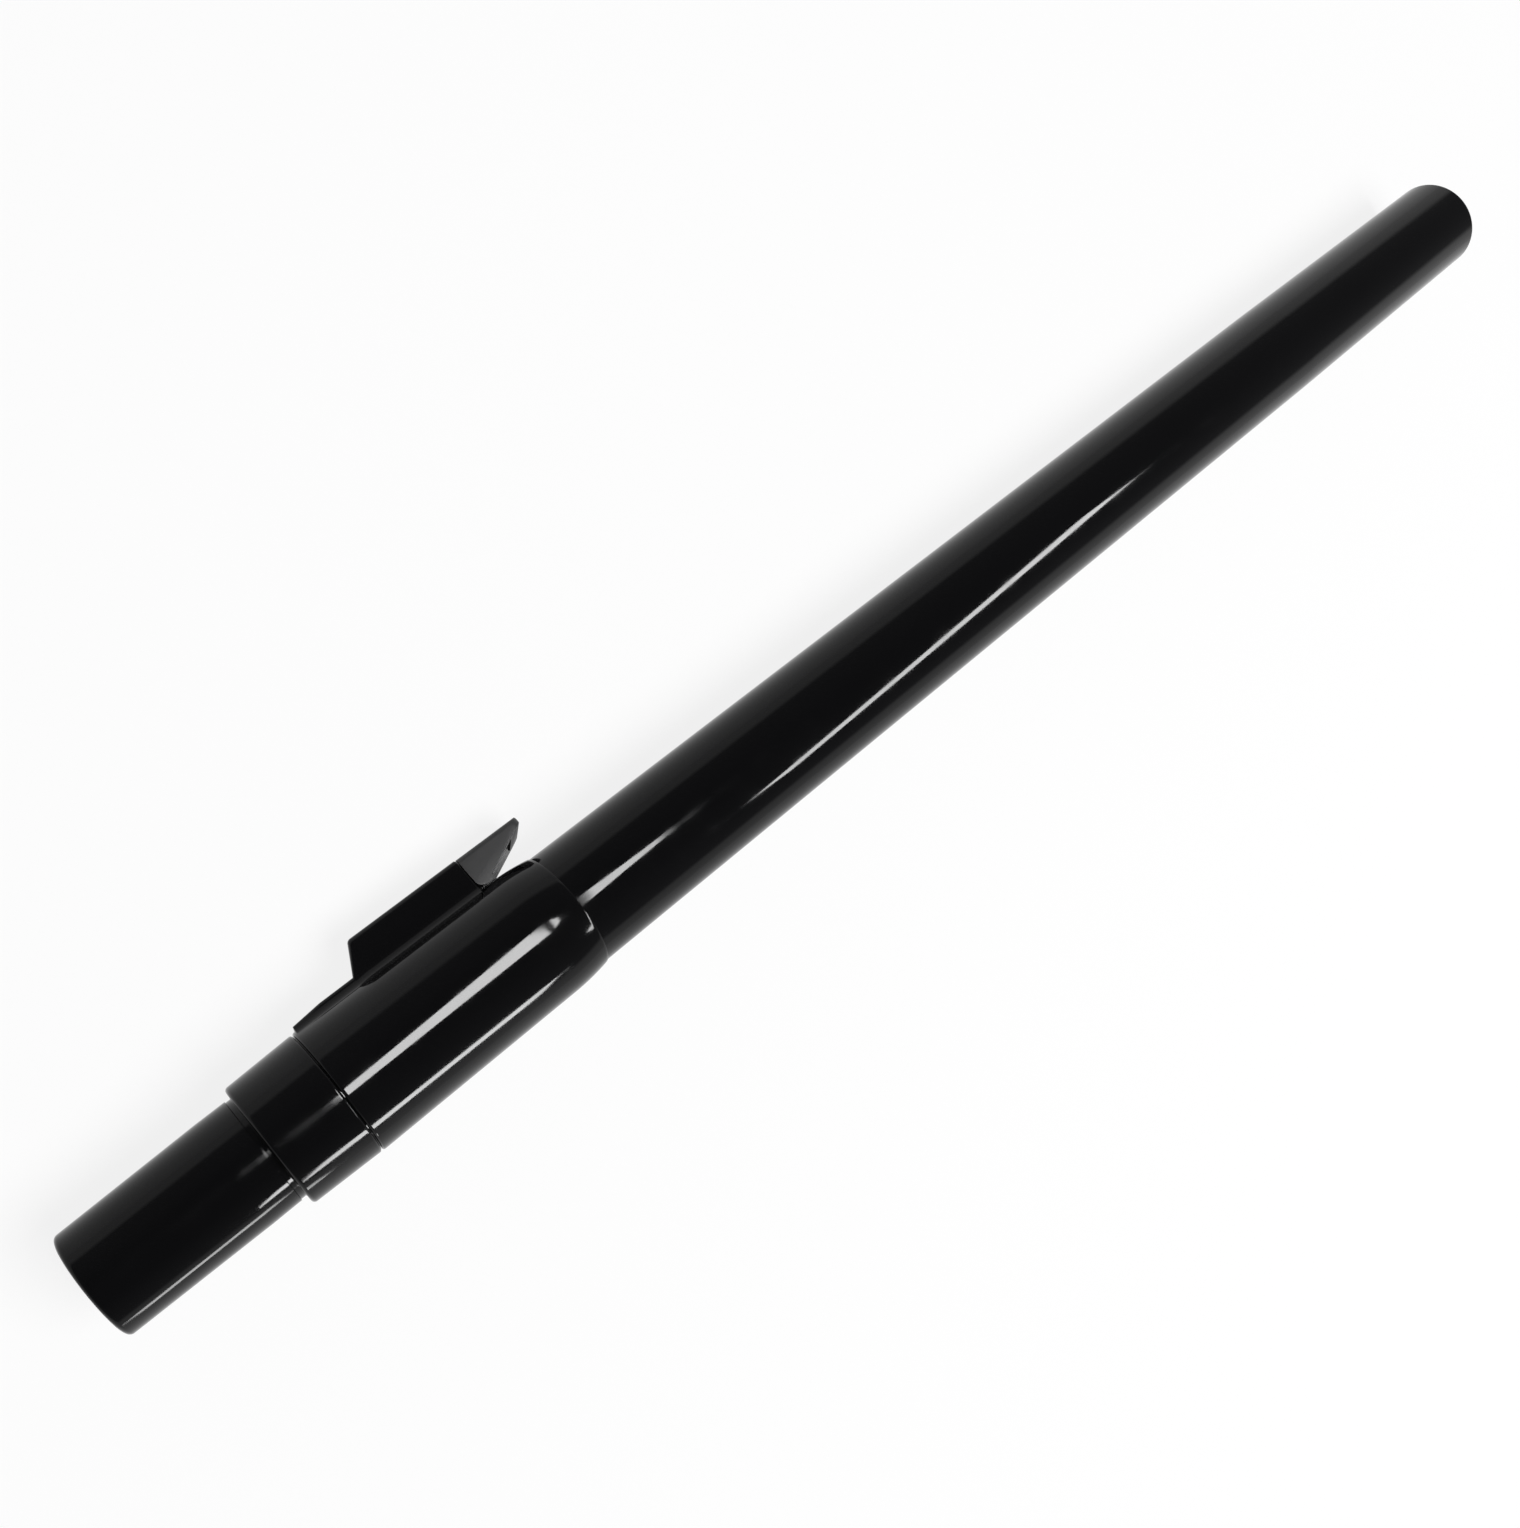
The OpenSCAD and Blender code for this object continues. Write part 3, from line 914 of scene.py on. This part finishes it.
def collar_rows(s):
    """(x, ring) rows of the collar's outside, from its front to its rear lip."""
    front = s.start
    rear = s.start + s.extent
    housing_front = front + s.housing_start
    housing_end = housing_front + s.housing_extent
    nose = 0.8 * MM
    edge = 0.25 * MM
    lip_edge = 0.15 * MM
    hair = 0.02 * MM
    step_in = 0.5 * MM

    def ring(x, height, rounding, shrink=0.0):
        half_width = s.housing_half_width - shrink
        return full_ring(
            housing_half_section(s, half_width, height - shrink, rounding, tail_radius(s, x))
        )

    def plinth_ring(x):
        return ring(x, plinth_level(s, x), s.plinth_round)

    rows = []
    guide = plinth_ring(front + nose)
    for sine, cosine in quarter(8):
        rows.append((front + nose * (1 - cosine), on_circle(guide, s.radius - nose * (1 - sine))))
    shoulder = front + nose + hair
    rows.append((shoulder, on_circle(guide, s.radius)))
    for x in spread(shoulder, front + nose + step_in - hair, 6):
        share = smoothed((x - shoulder) / (step_in - 2 * hair))
        rows.append((x, [(p.normalized() * s.radius).lerp(p, share) for p in plinth_ring(x)]))
    ramp_end = front + s.plinth_ramp
    for x in spread(front + nose + step_in, ramp_end, 11) + spread(ramp_end, housing_front - step_in, 7):
        rows.append((x, plinth_ring(x)))
    for spot in lean_profile(s):
        climb = (spot.y - s.plinth_height) / (s.housing_height - s.plinth_height)
        rounding = s.plinth_round + (s.housing_round - s.plinth_round) * smoothed(4 * climb)
        rows.append((spot.x, ring(spot.x, spot.y, rounding)))
    for x in spread(rows[-1][0], housing_end - edge - hair, 12):
        rows.append((x, ring(x, s.housing_height, s.housing_round)))
    for sine, cosine in quarter(5):
        x = housing_end - edge * (1 - sine)
        rows.append((x, ring(x, s.housing_height, s.housing_round, edge * (1 - cosine))))
    guide = rows[-1][1]
    rows.append((housing_end, on_circle(guide, s.radius)))
    for x in spread(housing_end, rear - lip_edge - hair, 24):
        rows.append((x, on_circle(guide, tail_radius(s, x))))
    for sine, cosine in quarter(5)[1:]:
        radius = tail_radius(s, rear) - lip_edge * (1 - cosine)
        rows.append((rear - lip_edge * (1 - sine), on_circle(guide, radius)))
    return rows


def collar_cutters(s):
    """What is hollow in the collar: the latch's room, the tooth's slot and the pin's hole."""
    end = s.start + s.housing_start + s.housing_extent
    front = s.start + s.housing_start + 5.4 * MM  # where the room's floor begins
    half = s.housing_half_width - s.housing_wall
    ceiling = s.housing_height - s.housing_wall
    floor = s.radius + 0.1 * MM
    past = 0.5 * MM
    room = prism(
        "room",
        [
            (front - past, floor),
            (end + past, floor),
            (end + past, ceiling),
            (front + s.housing_lean - past, ceiling),
        ],
        half,
    )
    latch = bpy.context.scene.wand_latch_sizes
    slot = slot_cutter("slot", floor + past)
    pin = latch.pin_radius + 0.01 * MM
    hole_ends = [(-latch.hole_end, pin), (s.housing_half_width + past, pin)]
    hole = rod("pin_hole", hole_ends, Vector((PIVOT.x, 0, PIVOT.z)))
    coil_low, coil_high = drawing_box("latch_spring")
    coil = (coil_low + coil_high) / 2
    recess_ends = [(ceiling - past, latch.recess_radius), (latch.recess_top, latch.recess_radius)]
    recess = rod("recess", recess_ends, Vector((coil.x, coil.y, 0)), upright=True)
    return [room, slot, hole, recess]


class WAND_OT_collar(bpy.types.Operator):
    """Lofts the sleeve, plinth and leaning latch housing, then hollows the latch's room"""

    bl_idname = "wand.collar"
    bl_label = "Latch collar"

    def execute(self, context):
        s = context.scene.wand_collar_sizes
        rows = collar_rows(s)
        bore = on_circle(rows[0][1], s.bore)
        size = len(bore)
        front, rear = rows[0][0], rows[-1][0]
        rows += [(rear, on_circle(rows[-1][1], s.bore)), (rear - 4 * MM, bore), (front, bore)]
        points = [(x, p.x, p.y) for x, ring in rows for p in ring]
        faces = []
        for row in range(len(rows)):
            below = row * size
            above = (row + 1) % len(rows) * size
            for k in range(size):
                after = (k + 1) % size
                faces.append((below + k, below + after, above + after, above + k))
        drawn = mesh_object("collar_shell", points, faces)
        drawn.data.materials.append(shared(moulded_gloss_abs))
        piece = cut(tidy_shell(drawn), collar_cutters(s))
        laid(tidy_shell(piece), "wand", "latch_collar")
        return {"FINISHED"}


class WAND_OT_lever(bpy.types.Operator):
    """Takes the latch lever's solid and breaks its sharp edges as a mould does"""

    bl_idname = "wand.lever"
    bl_label = "Latch lever"

    def execute(self, context):
        source = frame["nodes"]["latch_lever"]
        copy = bpy.data.objects.new("lever_rough", source.data.copy())
        context.scene.collection.objects.link(copy)
        copy.data.transform(PLACE.inverted())
        shell = bmesh.new()
        shell.from_mesh(copy.data)
        bmesh.ops.remove_doubles(shell, verts=shell.verts, dist=0.002 * MM)
        bmesh.ops.dissolve_limit(
            shell, angle_limit=math.radians(0.5), verts=shell.verts, edges=shell.edges
        )
        shell.to_mesh(copy.data)
        shell.free()
        copy.data.materials.clear()
        copy.data.materials.append(shared(moulded_satin_abs))
        soften = copy.modifiers.new("Broken edges", "BEVEL")
        soften.width = context.scene.wand_latch_sizes.edge
        soften.segments = 3
        soften.limit_method = "ANGLE"
        soften.angle_limit = math.radians(50)
        soften.use_clamp_overlap = True
        piece = baked(copy, "lever_shell")
        laid(tidy_shell(piece), "latch", "latch_lever")
        return {"FINISHED"}


class WAND_OT_pin(bpy.types.Operator):
    """Turns the ground hinge pin with its two chamfers"""

    bl_idname = "wand.pin"
    bl_label = "Hinge pin"

    def execute(self, context):
        s = context.scene.wand_latch_sizes
        low, high = drawing_box("hinge_pin")
        start, end = low.y, high.y
        chamfer = s.pin_chamfer
        outline = [
            (start, s.pin_radius - chamfer),
            (start + chamfer, s.pin_radius),
            (end - chamfer, s.pin_radius),
            (end, s.pin_radius - chamfer),
        ]
        piece = rod("pin_rod", outline, Vector((PIVOT.x, 0, PIVOT.z)))
        piece.data.materials.append(shared(ground_steel))
        laid(tidy_shell(piece), "wand", "hinge_pin")
        return {"FINISHED"}


class WAND_OT_spring(bpy.types.Operator):
    """Winds the latch spring between the lever's arm and the housing's roof"""

    bl_idname = "wand.spring"
    bl_label = "Latch spring"

    def execute(self, context):
        s = context.scene.wand_latch_sizes
        low, high = drawing_box("latch_spring")
        seed = mesh_object("spring.seed", [(0, 0, 0)])
        step = seed.modifiers.new("Wind", "NODES")
        step.node_group = coil_tree()
        set_inputs(
            step,
            {
                "Turns": s.coil_turns,
                "Coil radius": s.coil_radius,
                "Wire radius": s.wire_radius,
                "Height": high.z - low.z - 2 * s.wire_radius,
                "End closing": 0.11,
                "Steps": 240,
                "Sides": 14,
                "Material": shared(drawn_spring_wire),
            },
        )
        piece = baked(seed, "spring_coil")
        middle = (low + high) / 2
        place = Matrix.Translation((middle.x, middle.y, low.z + s.wire_radius))
        piece.data.transform(place)
        laid(tidy_shell(piece, 60), "wand", "latch_spring")
        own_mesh(piece)
        return {"FINISHED"}


# Studio


LENS_MM = 33.57
SENSOR_MM = 36.0
CAMERA_AT = Vector((-0.2533, 0.1009, 0.4031))
VIEW_RIGHT = Vector((0.71872, -0.51501, 0.46713))
VIEW_AHEAD = Vector((0.39700, -0.24770, -0.88390))


# Where each soft box starts and ends, its width in metres and its radiance. Each one lies where
# the camera finds it mirrored as one of the long highlights.
COLLAR_AT = (-0.2, -0.005, 0.037)
SOFT_BOXES = (
    ("collar_streak", (-0.250, 0.098, 0.930), (-0.082, 0.087, 0.410), 0.14, 45),
    ("near_tube_streak", (-0.064, 0.076, 0.366), (0.155, 0.180, 0.860), 0.10, 42),
    ("tube_streak", (0.190, -0.430, 0.530), (0.520, -0.120, 0.550), 0.07, 38),
    ("lower_streak", (-0.283, -0.645, 0.335), (-0.037, -0.655, 0.279), 0.09, 38),
    ("connector_streak", (-0.400, -0.700, 0.055), (-0.272, -0.705, 0.085), 0.07, 16),
)


def camera():
    """The camera of the main view, above the near end and looking along the wand."""
    data = bpy.data.cameras.new("camera")
    data.lens = LENS_MM
    data.sensor_width = SENSOR_MM
    data.clip_start = 0.01
    made = bpy.data.objects.new("camera", data)
    bpy.context.scene.collection.objects.link(made)
    ahead = VIEW_AHEAD.normalized()
    right = (VIEW_RIGHT - ahead * VIEW_RIGHT.dot(ahead)).normalized()
    up = right.cross(ahead)
    turn = Matrix((right, up, -ahead)).transposed()
    made.matrix_world = Matrix.Translation(CAMERA_AT) @ turn.to_4x4()
    bpy.context.scene.camera = made
    return made


def strip_lamp(name, start, end, width, radiance):
    """A long soft box from start to end, facing the collar; it shows only in reflections."""
    start, end, facing = Vector(start), Vector(end), Vector(COLLAR_AT)
    data = bpy.data.lights.new(name, "AREA")
    data.shape = "RECTANGLE"
    data.size = (end - start).length
    data.size_y = width
    data.energy = radiance * math.pi * data.size * data.size_y
    made = bpy.data.objects.new(name, data)
    bpy.context.scene.collection.objects.link(made)
    middle = (start + end) / 2
    along = (end - start).normalized()
    across = Vector(SEAT["axis"]).cross(middle - facing)
    across -= along * across.dot(along)
    back = along.cross(across).normalized()
    if back.dot(middle - facing) < 0:
        back.negate()
    turn = Matrix((along, back.cross(along), back)).transposed()
    made.matrix_world = Matrix.Translation(middle) @ turn.to_4x4()
    made.visible_camera = False
    made.visible_diffuse = False
    return made


def fill_lamp(name, at, size, irradiance):
    """A broad soft lamp overhead that lights the floor and the object evenly."""
    at = Vector(at)
    data = bpy.data.lights.new(name, "AREA")
    data.shape = "DISK"
    data.size = size
    data.energy = irradiance * math.pi * at.length_squared
    made = bpy.data.objects.new(name, data)
    bpy.context.scene.collection.objects.link(made)
    turn = at.to_track_quat("Z", "Y").to_matrix().to_4x4()
    made.matrix_world = Matrix.Translation(at) @ turn
    made.visible_camera = False
    made.visible_glossy = False
    return made


def studio_world():
    """A pale horizon under a dark ceiling, as in a small photo studio."""
    world = bpy.data.worlds.new("studio")
    bpy.context.scene.world = world
    world.use_nodes = True
    tree = world.node_tree
    tree.nodes.clear()
    ray = node(tree, "ShaderNodeTexCoord").outputs["Generated"]
    height = node(tree, "ShaderNodeSeparateXYZ", None, {"Vector": ray}).outputs["Z"]
    ramp = node(tree, "ShaderNodeValToRGB", None, {"Fac": height})
    stops = ramp.color_ramp.elements
    stops[0].position, stops[0].color = 0.24, (0.85, 0.85, 0.85, 1.0)
    stops[1].position, stops[1].color = 0.34, (0.2, 0.2, 0.205, 1.0)
    for position, grey in ((0.7, 0.12), (0.9, 0.05)):
        stop = stops.new(position)
        stop.color = (grey, grey, grey * 1.03, 1.0)
    light = node(tree, "ShaderNodeBackground", None, {"Color": ramp.outputs[0], "Strength": 1.0})
    node(tree, "ShaderNodeOutputWorld", None, {"Surface": light.outputs[0]})


def floor_material():
    """White studio board: it shows white to the eye and in gloss, and keeps a soft shadow."""
    material, tree = new_material("studio_board")
    base = bpy.context.scene.wand_colours.ground
    coords = node(tree, "ShaderNodeTexCoord").outputs["Object"]
    grain = surface_pattern(tree, coords, 2.0, detail=2.0).outputs[0]
    matt = node(
        tree,
        "ShaderNodeBsdfDiffuse",
        None,
        {"Color": tuple(base), "Normal": bumped(tree, grain, 0.02, 0.02)},
    )
    glow = node(tree, "ShaderNodeEmission", None, {"Color": (1, 1, 1, 1), "Strength": 1.0})
    path = node(tree, "ShaderNodeLightPath").outputs
    seen = node(
        tree,
        "ShaderNodeMath",
        {"operation": "ADD", "use_clamp": True},
        {0: path["Is Camera Ray"], 1: path["Is Glossy Ray"]},
    )
    seen = node(
        tree,
        "ShaderNodeMath",
        {"operation": "ADD", "use_clamp": True},
        {0: seen.outputs[0], 1: path["Is Transmission Ray"]},
    )
    share = node(tree, "ShaderNodeMath", {"operation": "MULTIPLY"}, {0: seen.outputs[0], 1: 0.85})
    mixed = node(
        tree,
        "ShaderNodeMixShader",
        None,
        {0: share.outputs[0], 1: matt.outputs[0], 2: glow.outputs[0]},
    )
    node(tree, "ShaderNodeOutputMaterial", None, {"Surface": mixed.outputs[0]})
    return material


class WAND_OT_stage(bpy.types.Operator):
    """Sets up the pale floor, the soft boxes and the camera"""

    bl_idname = "wand.stage"
    bl_label = "Studio"

    def execute(self, context):
        half = 6.0  # half the side of the floor, in metres
        corners = [(-half, -half, 0), (half, -half, 0), (half, half, 0), (-half, half, 0)]
        floor = mesh_object("studio_floor", corners, [(0, 1, 2, 3)])
        floor.data.materials.append(floor_material())
        studio_world()
        camera()
        fill_lamp("fill", (0.25, -0.5, 1.6), 1.2, 3.0)
        for name, start, end, width, radiance in SOFT_BOXES:
            strip_lamp(name, start, end, width, radiance)
        context.scene.view_settings.view_transform = "Standard"
        return {"FINISHED"}


class WAND_PT_panel(bpy.types.Panel):
    """Lists the wand's steps and sizes"""

    bl_idname = "WAND_PT_panel"
    bl_label = "Vacuum Cleaner Wand"
    bl_space_type = "VIEW_3D"
    bl_region_type = "UI"
    bl_category = "Wand"

    def draw(self, context):
        column = self.layout.column()
        for step in STEPS:
            column.operator(step.bl_idname)
        for group in GROUPS:
            box = self.layout.box()
            sizes = getattr(context.scene, group)
            for key in GROUPS[group].__annotations__:
                box.prop(sizes, key)


STEPS = (
    WAND_OT_stage,
    WAND_OT_tube,
    WAND_OT_connector,
    WAND_OT_end_ring,
    WAND_OT_collar,
    WAND_OT_lever,
    WAND_OT_pin,
    WAND_OT_spring,
)


def register():
    for kind in (*GROUPS.values(), *STEPS, WAND_PT_panel):
        bpy.utils.register_class(kind)
    for name, kind in GROUPS.items():
        setattr(bpy.types.Scene, name, bpy.props.PointerProperty(type=kind))


def unregister():
    for name in GROUPS:
        delattr(bpy.types.Scene, name)
    for kind in reversed((*GROUPS.values(), *STEPS, WAND_PT_panel)):
        bpy.utils.unregister_class(kind)


def main():
    register()
    bpy.ops.wand.stage()
    bpy.ops.wand.tube()
    bpy.ops.wand.connector()
    bpy.ops.wand.end_ring()
    bpy.ops.wand.collar()
    bpy.ops.wand.lever()
    bpy.ops.wand.pin()
    bpy.ops.wand.spring()


if __name__ == "__main__":
    main()
